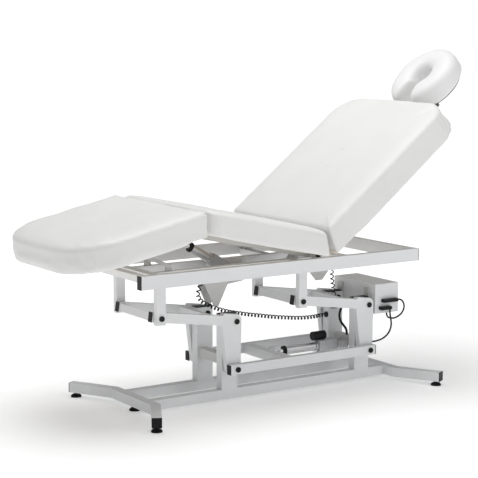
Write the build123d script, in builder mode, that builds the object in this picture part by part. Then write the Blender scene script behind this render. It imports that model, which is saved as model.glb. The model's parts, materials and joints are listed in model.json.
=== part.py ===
"""Powered facial treatment bed: floor frame, parallel-crank lift, tilting seat, leg rest and backrest.

Millimetres, +Z up, +X towards the head, origin on the floor under the middle of the bed.
"""
from build123d import *
import os
from math import cos, sin, tan, pi, radians, degrees, atan2, hypot

os.makedirs("parts", exist_ok=True)

# ---------------------------------------------------------------- driving dimensions
mid = 0.65                  # middle of the floor frame along the bed
wall = 2.0                  # wall of every steel tube
gap = 1.0                   # clearance between faces that slide past each other
cap = 3.0                   # thickness of the plastic end caps

foot_tube = 38.0            # square tube of the feet and floor rails
foot_low = 19.0             # underside of the floor frame above the floor
glide_x = 660.0             # levelling feet, from the middle of the frame
glide_y = 317.0
bend_x = 573.0              # straight middle stretch of each foot
bend_y = 159.0
arm_reach = 200.0           # from the bend to the end of a foot arm
glide_r = 21.0
glide_stem_r = 5.0

post_x = (-211.0, 435.0)    # front and rear posts, from the middle of the frame
post_long, post_wide = 72.0, 38.0
post_y = 90.0
post_top = 353.0

crank_span = 646.0          # from the front crank to the rear crank
crank_pivot = (-198.0, 328.0)    # front crank: main pivot on the posts
crank_hanger = (-549.0, 380.0)   # pivot at the end of the arm, under the upper frame
crank_link = (-210.0, 145.0)     # pivot at the foot of the tapered leg
crank_y = 127.5             # middle of each crank arm
link_y = 155.0              # middle of each link and hanger
bar_wide = 25.0             # width of arms, links and hangers across the bed
arm_high = 38.0
bolt_r = 8.0
fit = 0.05                  # radial clearance of the bolts and axles in their bores

rail_low = 519.0            # upper frame
rail_high = 50.0
rail_wide = 28.0
rail_out = 290.0            # outer faces of the side rails
rail_x = (-702.0, 578.0)
cross_low, cross_high = 515.0, 26.0
beam_y = 80.0
beam_high, beam_wide = 30.0, 30.0

hip = (116.0, 574.0)        # pivot of seat and backrest, from the middle of the frame
hip_r = 10.0
hip_lug_y = 233.0           # plates that hold the hip axle
seat_angle = 12.6           # seat falls towards the hip
back_angle = 38.1           # backrest rises towards the head
leg_angle = 11.7            # leg rest falls towards the foot
knee_local = (-572.5, -17.0)     # knee pivot seen from the hip, along and above the seat
knee_r = 8.0
pad_wide = 696.0
board = 12.0
foam = 80.0
seat_low = 3.0              # underside of the seat and back boards above the hip pivot
leg_low = 20.0              # underside of the leg board above the knee pivot
groove_angle = 51.0         # slope of the pad ends that face each other at the hip
leg_long = 536.0
back_long = 810.0
sub_tube = 20.0             # square tube under the boards
sub_y = 190.0

cord_r = 8.0                # curly cords, over the coil
lead_r = 5.0                # sleeved motor leads
thin_r = 3.5                # plain leads
gland_r, gland_high = 12.0, 6.0
leg_cord_top = (-322.0, -80.0)     # leg actuator's curly cord leaves the near beam here, along and across
post_gland = (84.0, 258.0)         # and ends on the far rear post, across and above the floor
bay_gland = (38.0, 528.0)          # backrest actuator's curly cord, on the bay's cross tube
side_gland = (420.0, 61.0)         # and on the far rear post's inner side
side_gland_top = 310.0


# ---------------------------------------------------------------- planes and points
def at(point, y=0.0):
    """A point of the side view, given from the middle of the floor frame, as a 3-D position."""
    return (point[0] + mid, y, point[1])


def side(point, y):
    """Plane standing along the bed at y, seen from the near side: x to the head, y up."""
    return Plane(origin=at(point, y), x_dir=(1, 0, 0), z_dir=(0, -1, 0))


def tilted(point, angle):
    """Plane lying in a tilted section: x towards the head, z up out of the pad."""
    a = radians(angle)
    return Plane(origin=at(point), x_dir=(cos(a), 0, sin(a)), z_dir=(-sin(a), 0, cos(a)))


def on_section(plane, x, z, y=0.0):
    """Plane along a tilted section at y, x along the pad and y out of it."""
    origin = plane.from_local_coords(Vector(x, y, z))
    return Plane(origin=origin, x_dir=plane.x_dir, z_dir=-plane.y_dir)


def shifted(point, dx=0.0, dz=0.0):
    return (point[0] + dx, point[1] + dz)


seat_plane = tilted(hip, -seat_angle)
back_plane = tilted(hip, back_angle)
knee_point = seat_plane.from_local_coords(Vector(knee_local[0], 0, knee_local[1]))
knee = (knee_point.X - mid, knee_point.Z)
leg_plane = tilted(knee, leg_angle)


# ---------------------------------------------------------------- shapes used by many pieces
def tube(plane, width, height, length, thick=wall):
    """Rectangular tube standing on a plane, its section centred on the plane's origin."""
    with BuildSketch(plane) as ring:
        Rectangle(width, height)
        Rectangle(width - 2 * thick, height - 2 * thick, mode=Mode.SUBTRACT)
    extrude(ring.sketch, amount=length)


def bar(plane, width, height, length, mode=Mode.ADD):
    with BuildSketch(plane) as face:
        Rectangle(width, height)
    extrude(face.sketch, amount=length, mode=mode)


def rod(plane, radius, length, mode=Mode.ADD):
    with BuildSketch(plane) as face:
        Circle(radius)
    extrude(face.sketch, amount=length, mode=mode)


def plate(plane, points, thick, corner=0.0, mode=Mode.ADD):
    """Flat plate with the given outline, thickened to both sides of its plane."""
    with BuildSketch(plane) as face:
        with BuildLine():
            Polyline(*points, close=True)
        make_face()
        if corner:
            fillet(face.vertices(), corner)
    extrude(face.sketch, amount=thick / 2, both=True, mode=mode)


def bore(plane, radius, reach=400.0):
    """Hole right through, along the plane's normal."""
    rod(Plane(origin=plane.origin - plane.z_dir * reach, x_dir=plane.x_dir, z_dir=plane.z_dir),
        radius, 2 * reach, mode=Mode.SUBTRACT)


def save(piece, label):
    piece.part.label = label
    export_step(piece.part, f"parts/{label}.step")


# ---------------------------------------------------------------- feet and floor rails
foot_mid_z = foot_low + foot_tube / 2
arm_run = hypot(glide_x - bend_x, glide_y - bend_y)
arm_dir = ((glide_x - bend_x) / arm_run, (glide_y - bend_y) / arm_run)
arm_end = (bend_x + arm_dir[0] * arm_reach, bend_y + arm_dir[1] * arm_reach)


def foot_path(sign):
    x_bend, x_end = mid + sign * bend_x, mid + sign * arm_end[0]
    return [(x_end, -arm_end[1], foot_mid_z), (x_bend, -bend_y, foot_mid_z),
            (x_bend, bend_y, foot_mid_z), (x_end, arm_end[1], foot_mid_z)]


glide_spots = [("front_near", -glide_x, -glide_y), ("front_middle", -bend_x, 0.0),
               ("front_far", -glide_x, glide_y), ("rear_near", glide_x, -glide_y),
               ("rear_middle", bend_x, 0.0), ("rear_far", glide_x, glide_y)]
nut_high = 6.0
stem_hole_r = glide_stem_r + 0.5

for name, sign in (("front_foot", -1), ("rear_foot", 1)):
    with BuildPart() as foot:
        with BuildLine() as path:
            Polyline(*foot_path(sign))
        start = foot_path(sign)[0]
        run = Vector(*foot_path(sign)[1]) - Vector(*start)
        with BuildSketch(Plane(origin=start, x_dir=(0, 0, 1), z_dir=run.normalized())):
            Rectangle(foot_tube, foot_tube)
            Rectangle(foot_tube - 2 * wall, foot_tube - 2 * wall, mode=Mode.SUBTRACT)
        sweep(path=path.line, transition=Transition.RIGHT)
        for spot, x, y in glide_spots:
            if x * sign > 0:
                rod(Plane(origin=(mid + x, y, foot_low - 1)), stem_hole_r, 1 + 2 * wall, mode=Mode.SUBTRACT)
    save(foot, name)

with BuildPart() as base_rails:
    rail_end = bend_x - foot_tube / 2
    for y in (-post_y, post_y):
        tube(Plane(origin=(mid - rail_end, y, foot_mid_z), x_dir=(0, 1, 0), z_dir=(1, 0, 0)),
             foot_tube, foot_tube, 2 * rail_end)
save(base_rails, "base_rails")

with BuildPart() as base_end_caps:
    for sx in (-1, 1):
        for sy in (-1, 1):
            out = Vector(sx * arm_dir[0], sy * arm_dir[1], 0)
            face = Plane(origin=(mid + sx * arm_end[0], sy * arm_end[1], foot_mid_z), x_dir=(0, 0, 1), z_dir=out)
            bar(face, foot_tube, foot_tube, cap)
            bar(face, foot_tube - 2 * wall - 0.2, foot_tube - 2 * wall - 0.2, -10)
    for x in post_x:
        for y in (-post_y, post_y):
            top = Plane(origin=(mid + x, y, post_top))
            bar(top, post_long, post_wide, cap)
            bar(top, post_long - 2 * wall - 0.2, post_wide - 2 * wall - 0.2, -10)
    post_face = post_x[1] - post_long / 2
    rod(Plane(origin=at((post_face, post_gland[1]), post_gland[0]), x_dir=(0, 1, 0), z_dir=(-1, 0, 0)),
        gland_r, gland_high)
    block_deep = post_y - post_wide / 2 - (side_gland[1] - 9)
    bar(Plane(origin=at((side_gland[0], side_gland_top), side_gland[1] - 9 + block_deep / 2),
              z_dir=(0, 0, -1)), 24, block_deep, 24)
save(base_end_caps, "base_caps_and_glands")

with BuildPart() as posts:
    for x in post_x:
        for y in (-post_y, post_y):
            foot_top = foot_low + foot_tube
            tube(Plane(origin=(mid + x, y, foot_top)), post_long, post_wide, post_top - foot_top)
    for shift in (0.0, crank_span):
        bore(side(shifted(crank_pivot, shift), 0), bolt_r + 0.3)
save(posts, "posts")

# ---------------------------------------------------------------- levelling feet
stem_top = foot_low + foot_tube - wall - 4
for spot, x, y in glide_spots:
    with BuildPart() as glide:
        rod(Plane(origin=(mid + x, y, 0)), glide_r, 5)
        with BuildSketch(Plane(origin=(mid + x, y, 5))) as disc:
            Circle(glide_r)
        extrude(disc.sketch, amount=5, taper=45)
        rod(Plane(origin=(mid + x, y, 10)), glide_stem_r, stem_top - 10)
    save(glide, f"levelling_foot_{spot}")

# ---------------------------------------------------------------- brackets on the floor frame
lift_pin = (388.0, 150.0)          # rear pivot of the lift actuator
lift_plate_y = 24.0
front_tie = (-222.0, 174.0)         # tubes joining each pair of posts
rear_tie = (449.0, 160.0)
box_x = (480.0, 600.0)             # control box, from the middle of the frame
box_y = 139.0
box_z = (286.0, 408.0)
pin_r = 5.0

with BuildPart() as base_brackets:
    shelf_y = post_y - post_wide / 2
    tie_top, tie_back = rear_tie[1] + foot_tube / 2, rear_tie[0] + foot_tube / 2
    for point in (front_tie, rear_tie):
        tube(Plane(origin=at(point, -shelf_y), x_dir=(1, 0, 0), z_dir=(0, 1, 0)), foot_tube, foot_tube, 2 * shelf_y)
    lug_reach = rear_tie[0] - foot_tube / 2 - lift_pin[0]
    for y in (-lift_plate_y, lift_plate_y):
        plate(side(lift_pin, y), [(-12, -12), (12, -16), (lug_reach, -16), (lug_reach, 16), (-12, 12)], 5)
    bore(side(lift_pin, 0), pin_r + fit, 60)
    box_back = post_x[1] + post_long / 2
    for y in (-post_y, post_y):
        bar(Plane(origin=at((box_back, 345.0), y), x_dir=(0, 1, 0), z_dir=(1, 0, 0)),
            30, 90, box_x[0] - box_back)
save(base_brackets, "base_brackets")

# ---------------------------------------------------------------- bell cranks
arm_angle = degrees(atan2(crank_hanger[1] - crank_pivot[1], crank_pivot[0] - crank_hanger[0]))
arm_run_long = hypot(crank_hanger[0] - crank_pivot[0], crank_hanger[1] - crank_pivot[1])
arm_tail = 24.0                    # arm beyond the hanger pivot
leg_top_wide, leg_low_wide = 92.0, 52.0
leg_edge = 22.0                    # straight rear edge of the leg, behind the main pivot


def arm_point(distance, lift=0.0):
    """Point on an arm's middle line, by its distance from the main pivot and height above the line."""
    a = radians(arm_angle)
    return (crank_pivot[0] - distance * cos(a) + lift * sin(a), crank_pivot[1] + distance * sin(a) + lift * cos(a))


def arm_section(distance, y):
    """Plane across an arm, looking along it towards the foot end."""
    a = radians(arm_angle)
    point = arm_point(distance)
    return Plane(origin=at(point, y), x_dir=(0, 1, 0), z_dir=(-cos(a), 0, sin(a)))


inner_y = crank_y - bar_wide / 2
for name, shift in (("front", 0.0), ("rear", crank_span)):
    with BuildPart() as arms:
        for y in (-crank_y, crank_y):
            start = arm_section(30, y)
            start = Plane(origin=start.origin + Vector(shift, 0, 0), x_dir=start.x_dir, z_dir=start.z_dir)
            tube(start, bar_wide, arm_high, arm_run_long + arm_tail - 30)
            low = crank_link[1] - 22 - crank_pivot[1]
            outline = [(leg_edge, 14), (leg_edge - 12, 26), (-leg_top_wide + leg_edge + 14, 36),
                       (-leg_top_wide + leg_edge, 22), (-leg_low_wide + leg_edge - 12, low + 10),
                       (-leg_low_wide + leg_edge - 4, low), (leg_edge - 12, low), (leg_edge - 4, low + 10)]
            plate(side(shifted(crank_pivot, shift), y), outline, bar_wide)
        for point in (crank_pivot, crank_hanger, crank_link):
            bore(side(shifted(point, shift), 0), bolt_r + fit)
        a = radians(arm_angle)
        for distance, piece, long in ((arm_run_long + arm_tail - 4, bar, 6), (96.0, tube, 30)):
            piece(Plane(origin=at(shifted(arm_point(distance), shift), -inner_y),
                        x_dir=(-cos(a), 0, sin(a)), z_dir=(0, 1, 0)), long, 30, 2 * inner_y)
    save(arms, f"{name}_crank")

    with BuildPart() as arm_caps:
        for y in (-crank_y, crank_y):
            end = arm_section(arm_run_long + arm_tail, y)
            end = Plane(origin=end.origin + Vector(shift, 0, 0), x_dir=end.x_dir, z_dir=end.z_dir)
            bar(end, bar_wide, arm_high, cap)
            bar(end, bar_wide - 2 * wall - 0.2, arm_high - 2 * wall - 0.2, -10)
    save(arm_caps, f"{name}_crank_caps")

# ---------------------------------------------------------------- link frame
link_ahead, link_behind = 31.0, 26.0
link_left = crank_link[0] - link_ahead
link_right = crank_link[0] + crank_span + link_behind
lug_x = 40.0
rod_end = (78.0, 150.0)
link_inner = link_y - bar_wide / 2

with BuildPart() as links:
    for y in (-link_y, link_y):
        tube(Plane(origin=at((link_left, crank_link[1]), y), x_dir=(0, 1, 0), z_dir=(1, 0, 0)),
             bar_wide, arm_high, link_right - link_left)
    for shift in (0.0, crank_span):
        bore(side(shifted(crank_link, shift), 0), bolt_r + 0.3)
save(links, "links")

with BuildPart() as link_cross:
    tube(Plane(origin=at((lug_x, crank_link[1]), -link_inner), x_dir=(1, 0, 0), z_dir=(0, 1, 0)),
         arm_high, arm_high, 2 * link_inner)
    lug_long = rod_end[0] - lug_x
    for y in (-15.0, 15.0):
        plate(side((lug_x, rod_end[1]), y), [(19, -23), (lug_long + 16, -23), (lug_long + 16, 23), (19, 23)], 5)
    with BuildSketch(side(rod_end, 0)) as slot:
        Rectangle(2 * pin_r + 11, 2 * pin_r + 15)
        fillet(slot.vertices(), 4)
    extrude(slot.sketch, amount=40, both=True, mode=Mode.SUBTRACT)
save(link_cross, "link_cross_tube")

with BuildPart() as link_caps:
    for x, way in ((link_left, -1), (link_right, 1)):
        for y in (-link_y, link_y):
            end = Plane(origin=at((x, crank_link[1]), y), x_dir=(0, 1, 0), z_dir=(way, 0, 0))
            bar(end, bar_wide, arm_high, cap)
            bar(end, bar_wide - 2 * wall - 0.2, arm_high - 2 * wall - 0.2, -10)
save(link_caps, "link_caps")


# ---------------------------------------------------------------- pivot bolts with their covers
def pivot_bolt(point, y_head, y_tip, head=10.5, head_high=5.0):
    """Bolt along Y from its covered head at y_head to its covered nut at y_tip."""
    way = 1 if y_tip > y_head else -1
    plane = Plane(origin=at(point, y_head), x_dir=(1, 0, 0), z_dir=(0, way, 0))
    rod(plane, bolt_r, abs(y_tip - y_head))
    rod(plane, head, -head_high)
    end = Plane(origin=at(point, y_tip), x_dir=(1, 0, 0), z_dir=(0, way, 0))
    rod(end, head, head_high)


bolt_out = link_y + bar_wide / 2 + 0.5
bolt_in = crank_y - bar_wide / 2 - 0.5
with BuildPart() as main_bolts:
    for shift in (0.0, crank_span):
        for sy in (-1, 1):
            pivot_bolt(shifted(crank_pivot, shift), sy * (crank_y + bar_wide / 2 + 0.5),
                       sy * (post_y - post_wide / 2 - 0.5))
    for spot, x, y in glide_spots:
        with BuildSketch(Plane(origin=(mid + x, y, foot_low - nut_high))) as nut:
            RegularPolygon(9, 6)
            Circle(glide_stem_r + fit, mode=Mode.SUBTRACT)
        extrude(nut.sketch, amount=nut_high)
save(main_bolts, "main_bolts_and_foot_nuts")

with BuildPart() as link_bolts:
    for shift in (0.0, crank_span):
        for sy in (-1, 1):
            pivot_bolt(shifted(crank_link, shift), sy * bolt_out, sy * bolt_in)
save(link_bolts, "link_pivot_bolts")

with BuildPart() as hanger_bolts:
    for shift in (0.0, crank_span):
        for sy in (-1, 1):
            pivot_bolt(shifted(crank_hanger, shift), sy * bolt_out, sy * bolt_in)
    rod(Plane(origin=at(hip, -hip_lug_y - 8), x_dir=(1, 0, 0), z_dir=(0, 1, 0)), hip_r, 2 * hip_lug_y + 16)
save(hanger_bolts, "hanger_bolts_and_hip_axle")

# ---------------------------------------------------------------- upper frame
rail_mid = rail_low + rail_high / 2
rail_y = rail_out - rail_wide / 2
rail_inner = rail_out - rail_wide
cross_mid = cross_low + cross_high / 2
end_cross = 34.0                   # tube across the foot end
head_cross = 25.0                  # tube across the head end
bay_x = 330.0                      # cross-tube that closes the actuator bay
beam_inner = beam_y - beam_wide / 2
beam_outer = beam_y + beam_wide / 2
hanger_low = crank_hanger[1] - 25
hanger_x = (crank_hanger[0], crank_hanger[0] + crank_span)


def cross_tube(point, long, high, y_from, y_to):
    tube(Plane(origin=at(point, y_from), x_dir=(1, 0, 0), z_dir=(0, 1, 0)), long, high, y_to - y_from)


with BuildPart() as rails:
    for y in (-rail_y, rail_y):
        tube(Plane(origin=at((rail_x[0], rail_mid), y), x_dir=(0, 1, 0), z_dir=(1, 0, 0)),
             rail_wide, rail_high, rail_x[1] - rail_x[0])
    beam_start, beam_end = hanger_x[0] + arm_high / 2, bay_x - arm_high / 2
    for y in (-beam_y, beam_y):
        tube(Plane(origin=at((beam_start, cross_mid), y), x_dir=(0, 1, 0), z_dir=(1, 0, 0)),
             beam_wide, cross_high, beam_end - beam_start)
    for x in hanger_x:
        for y in (-link_y, link_y):
            tube(Plane(origin=at((x, hanger_low), y)), arm_high, bar_wide, cross_low - hanger_low)
        bore(side((x, crank_hanger[1]), 0), bolt_r + 0.3)
save(rails, "side_rails_beams_and_hangers")

with BuildPart() as rail_caps:
    for x, way in ((rail_x[0], -1), (rail_x[1], 1)):
        for y in (-rail_y, rail_y):
            end = Plane(origin=at((x, rail_mid), y), x_dir=(0, 1, 0), z_dir=(way, 0, 0))
            bar(end, rail_wide, rail_high, cap)
            bar(end, rail_wide - 2 * wall - 0.2, rail_high - 2 * wall - 0.2, -10)
    rod(Plane(origin=at((leg_cord_top[0], cross_low), leg_cord_top[1]), z_dir=(0, 0, -1)), gland_r, gland_high)
    bay_face = bay_x + arm_high / 2
    rod(Plane(origin=at((bay_face, bay_gland[1]), bay_gland[0]), x_dir=(0, 1, 0), z_dir=(1, 0, 0)),
        gland_r, gland_high)
save(rail_caps, "frame_caps_and_glands")

with BuildPart() as crosses:
    cross_tube((rail_x[0] + end_cross / 2, rail_low + rail_high - 12.5), end_cross, 25, -rail_inner, rail_inner)
    cross_tube((rail_x[1] - head_cross / 2, rail_mid), head_cross, rail_high, -rail_inner, rail_inner)
    cross_tube((hanger_x[0], cross_mid), arm_high, cross_high, -rail_inner, rail_inner)
    cross_tube((bay_x, cross_mid), arm_high, cross_high, -rail_inner, rail_inner)
    cross_tube((hanger_x[1], cross_mid), arm_high, cross_high, -rail_inner, -beam_outer)
    cross_tube((hanger_x[1], cross_mid), arm_high, cross_high, beam_outer, rail_inner)
save(crosses, "cross_tubes")

stay_foot = (-466.0, 560.0)        # lower pivot of the leg rest's stay
back_actuator_y, leg_actuator_y = -38.0, 32.0
back_pin = (-218.0, 478.0)         # rear pivot of the backrest actuator
leg_pin = (-95.0, 481.0)           # rear pivot of the leg actuator
shelf_high = 14.0
cable_x = 296.0

with BuildPart() as frame_brackets:
    for y in (-hip_lug_y, hip_lug_y):
        drop = cross_low + cross_high - hip[1]
        reach = hanger_x[1] - arm_high / 2 - hip[0]
        plate(side(hip, y), [(reach, drop), (18, drop), (16, 10), (10, 16), (-10, 16), (reach, drop + 8)], 6)
    bore(side(hip, 0), hip_r + fit)
    for y in (-beam_y, beam_y):
        drop = cross_low + cross_high - stay_foot[1]
        plate(side(stay_foot, y), [(-16, drop), (16, drop), (9, 9), (-9, 9)], 6)
    bore(side(stay_foot, 0), pin_r + fit)
    shelf_low = cross_low - shelf_high
    back_top_z, leg_top_z = shelf_low - back_pin[1], shelf_low - leg_pin[1]
    back_low = 381 - back_pin[1]
    back_plate = [(-95, back_top_z), (45, back_top_z), (-18, back_low), (-36, back_low)]
    leg_plate = [(14, leg_top_z), (62, leg_top_z), (12, -13), (-12, -13), (-12, 8)]
    for pivot, y_mid, y_beam, shelf_shift, outline in (
            (back_pin, back_actuator_y, -beam_outer, 0, back_plate),
            (leg_pin, leg_actuator_y, beam_outer, 38, leg_plate)):
        y_lip = y_mid + 31 if y_beam < 0 else y_mid - 31
        shelf_span = sorted((y_beam, y_lip))
        bar(Plane(origin=at((pivot[0] + shelf_shift, cross_low - shelf_high / 2), shelf_span[0]),
                  x_dir=(1, 0, 0), z_dir=(0, 1, 0)), 40, shelf_high, shelf_span[1] - shelf_span[0])
        for y in (y_mid - 28, y_mid + 28):
            plate(side(pivot, y), outline, 4)
        rod(Plane(origin=at(pivot, y_mid - 31), x_dir=(1, 0, 0), z_dir=(0, 1, 0)), pin_r + fit, 62,
            mode=Mode.SUBTRACT)
    plate(side((cable_x, cross_low - 6), 0), [(-88, 0), (88, 0), (16, -84), (-16, -84)], 4)
    bar(Plane(origin=at((cable_x, cross_low - 3), -beam_outer), x_dir=(1, 0, 0), z_dir=(0, 1, 0)),
        30, 6, 2 * beam_outer)
save(frame_brackets, "frame_brackets")


# ---------------------------------------------------------------- seat, backrest and leg rest
def section_tube(plane, y, z_mid, x_from, x_to):
    start = plane.from_local_coords(Vector(x_from, y, z_mid))
    tube(Plane(origin=start, x_dir=plane.y_dir, z_dir=plane.x_dir), sub_tube, sub_tube, x_to - x_from)


def section_cross(plane, x, z_mid, half):
    start = plane.from_local_coords(Vector(x, -half, z_mid))
    tube(Plane(origin=start, x_dir=plane.x_dir, z_dir=plane.y_dir), sub_tube, sub_tube, 2 * half)


def barrel(plane, x, z, y_from, y_to, outer):
    start = plane.from_local_coords(Vector(x, y_from, z))
    rod(Plane(origin=start, x_dir=plane.x_dir, z_dir=plane.y_dir), outer, y_to - y_from)


def panel(plane, x_from, x_to, low, high, width, corners=()):
    """Board or cushion lying in a section, with rounded corners at the ends named in corners."""
    with BuildSketch(plane.offset(low)) as outline:
        with Locations(((x_from + x_to) / 2, 0)):
            Rectangle(x_to - x_from, width)
        ends = outline.vertices().group_by(Axis(plane.origin, plane.x_dir))
        for end, radius in corners:
            fillet(ends[end], radius)
    extrude(outline.sketch, amount=high - low)


def trim_end(plane, way, high, start, low):
    """Cuts a pad's hip end to a slope, so that two pads can fold towards each other."""
    slope = tan(radians(groove_angle))
    points = [(way * (start - 5), low), (way * start, low), (way * start, slope * start),
              (way * high / slope, high), (way * (start - 5), high)]
    plate(on_section(plane, 0, 0), points, pad_wide + 40, mode=Mode.SUBTRACT)


pad_start = 22.0                   # pads and boards begin this far from the hip pivot
knee_gap = 3.0
seat_end = knee_local[0] + knee_gap / 2
seat_top = seat_low + board + foam
back_foam = 95.0
back_top = seat_low + board + back_foam
leg_top = leg_low + board + foam
inset = 6.0                        # boards are this much smaller than the pads
tube_mid = seat_low - sub_tube / 2
hip_barrel_r, knee_barrel_r = 16.0, 13.0
rod_lug = (-505.0, -31.0)          # leg actuator's pin, seen from the hip pivot
lug_half = 15.0
back_sub_y, leg_sub_y = 217.0, 199.0

with BuildPart() as seat_board:
    panel(seat_plane, seat_end + 2, -pad_start, seat_low, seat_low + board, pad_wide - 2 * inset, ((0, 50),))
save(seat_board, "seat_board")

with BuildPart() as seat_cushion:
    panel(seat_plane, seat_end, -pad_start, seat_low + board, seat_top, pad_wide, ((0, 55),))
    trim_end(seat_plane, -1, seat_top + 1, pad_start, seat_low)
save(seat_cushion, "seat_cushion")

with BuildPart() as seat_frame:
    for y in (-sub_y, sub_y):
        section_tube(seat_plane, y, tube_mid, knee_local[0] + 15, -14)
        barrel(seat_plane, 0, 0, y - 14, y + 14, hip_barrel_r)
        knee_y = y - 15 if y > 0 else y + 15
        barrel(seat_plane, knee_local[0], knee_local[1], knee_y - 11, knee_y + 11, knee_barrel_r)
        tongue = seat_plane.from_local_coords(Vector(knee_local[0], knee_y, tube_mid - 2))
        bar(Plane(origin=tongue, x_dir=seat_plane.y_dir, z_dir=seat_plane.x_dir), 22, 16, 30)
    for x in (-130.0, rod_lug[0]):
        section_cross(seat_plane, x, tube_mid, sub_y - sub_tube / 2)
    for y in (leg_actuator_y - lug_half, leg_actuator_y + lug_half):
        plate(on_section(seat_plane, rod_lug[0], rod_lug[1], y), [(-16, -14), (16, -14), (16, 18), (-16, 18)], 5)
    bore(on_section(seat_plane, 0, 0), hip_r + fit)
    bore(on_section(seat_plane, *knee_local), knee_r + fit)
    with BuildSketch(on_section(seat_plane, *rod_lug)) as slot:
        Rectangle(2 * pin_r + 6, 2 * pin_r + 6)
        fillet(slot.vertices(), 4)
    extrude(slot.sketch, amount=80, both=True, mode=Mode.SUBTRACT)
save(seat_frame, "seat_frame")

with BuildPart() as knee_pins:
    for sy in (-1, 1):
        inner = seat_plane.from_local_coords(Vector(knee_local[0], sy * 163, knee_local[1]))
        turn = Plane(origin=inner, x_dir=seat_plane.x_dir, z_dir=(0, sy, 0))
        rod(turn, knee_r, 50)
        rod(turn, knee_r + 3, -3)
save(knee_pins, "knee_pins")

with BuildPart() as back_board:
    panel(back_plane, pad_start, back_long - inset, seat_low, seat_low + board, pad_wide - 2 * inset, ((-1, 125),))
save(back_board, "back_board")

with BuildPart() as back_cushion:
    panel(back_plane, pad_start, back_long, seat_low + board, back_top, pad_wide, ((-1, 130),))
    trim_end(back_plane, 1, back_top + 1, pad_start, seat_low)
save(back_cushion, "back_cushion")

lever_tip = (-32.3, -50.6)         # backrest actuator's pin, seen from the hip pivot
lever_play = 9.8                   # the lever's hole is this much larger than the rod's pin
socket_y, socket_z = 75.0, -9.0
socket_x = (600.0, 776.0)
cradle_rod_r = 6.0

with BuildPart() as back_frame:
    for y in (-back_sub_y, back_sub_y):
        section_tube(back_plane, y, tube_mid, 14, 430)
        barrel(back_plane, 0, 0, y - 12, y + 12, hip_barrel_r)
    for x in (42.0, 420.0):
        section_cross(back_plane, x, tube_mid, back_sub_y - sub_tube / 2)
    for y in (back_actuator_y - lug_half, back_actuator_y + lug_half):
        tip_x, tip_z = lever_tip
        plate(on_section(back_plane, 0, 0, y),
              [(32, tube_mid - 10), (52, tube_mid - 10), (tip_x + 22, tip_z - 10), (tip_x + 10, tip_z - 20),
               (tip_x - 12, tip_z - 20), (tip_x - 21, tip_z - 8), (tip_x - 18, tip_z + 12)], 5)
    bore(on_section(back_plane, 0, 0), hip_r + fit)
    bore(on_section(back_plane, *lever_tip), pin_r + lever_play, 80)
    for y in (-socket_y, socket_y):
        start = back_plane.from_local_coords(Vector(socket_x[0], y, socket_z))
        with BuildSketch(Plane(origin=start, x_dir=back_plane.y_dir, z_dir=back_plane.x_dir)) as ring:
            RectangleRounded(24, 24, 5)
            Circle(cradle_rod_r + fit, mode=Mode.SUBTRACT)
        extrude(ring.sketch, amount=socket_x[1] - socket_x[0])
save(back_frame, "back_frame_and_sockets")

with BuildPart() as leg_board:
    panel(leg_plane, -leg_long + inset, -knee_gap / 2 - 2, leg_low, leg_low + board, pad_wide - 2 * inset,
          ((0, 205),))
save(leg_board, "leg_board")

with BuildPart() as leg_cushion:
    panel(leg_plane, -leg_long, -knee_gap / 2, leg_low + board, leg_top, pad_wide, ((0, 210),))
save(leg_cushion, "leg_cushion")

stay_head = (-190.0, -9.0)         # stay's upper pin, seen from the knee pivot
stay_y = beam_y + 8.0
with BuildPart() as leg_frame:
    for y in (-leg_sub_y, leg_sub_y):
        section_tube(leg_plane, y, leg_low - sub_tube / 2, -204, -10)
        barrel(leg_plane, 0, 0, y - 11, y + 11, knee_barrel_r)
    section_cross(leg_plane, -194.0, leg_low - sub_tube / 2, leg_sub_y - sub_tube / 2)
    strap = leg_plane.from_local_coords(Vector(-60, -leg_sub_y, leg_low - 4))
    bar(Plane(origin=strap, x_dir=leg_plane.x_dir, z_dir=leg_plane.y_dir), sub_tube, 8, 2 * leg_sub_y)
    for y in (-stay_y - 8, stay_y + 8):
        plate(on_section(leg_plane, stay_head[0], stay_head[1], y), [(-14, -12), (14, -12), (14, 10), (-14, 10)], 5)
    bore(on_section(leg_plane, 0, 0), knee_r + fit)
    with BuildSketch(on_section(leg_plane, *stay_head)) as slot:
        Rectangle(2 * pin_r + 7, 2 * pin_r + 7)
        fillet(slot.vertices(), 3)
    extrude(slot.sketch, amount=200, both=True, mode=Mode.SUBTRACT)
save(leg_frame, "leg_frame")

head_point = leg_plane.from_local_coords(Vector(stay_head[0], 0, stay_head[1]))
stay_run = Vector(head_point.X - mid - stay_foot[0], 0, head_point.Z - stay_foot[1])
with BuildPart() as leg_stay:
    along = stay_run.normalized()
    for sy in (-1, 1):
        flat = Plane(origin=at(stay_foot, sy * stay_y), x_dir=along, z_dir=along.cross(Vector(0, 0, 1)).normalized())
        with BuildSketch(flat) as bar_face:
            with Locations((stay_run.length / 2, 0)):
                SlotCenterToCenter(stay_run.length, 14)
        extrude(bar_face.sketch, amount=3, both=True)
        for end, way in ((at(stay_foot, sy * stay_y), -sy), (tuple(head_point + Vector(0, sy * stay_y, 0)), sy)):
            rod(Plane(origin=end, x_dir=along, z_dir=(0, way, 0)), pin_r, 14)
    brace = Vector(*at(stay_foot)) + along * (stay_run.length / 2)
    bar(Plane(origin=brace - Vector(0, stay_y, 0), x_dir=along, z_dir=(0, 1, 0)), 12, 6, 2 * stay_y)
save(leg_stay, "leg_stay")


# ---------------------------------------------------------------- actuators
eye_r = 10.5
shaft_r = 10.0
outer_r = 17.0
collar_long, collar_r = 8.0, 20.0


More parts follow.
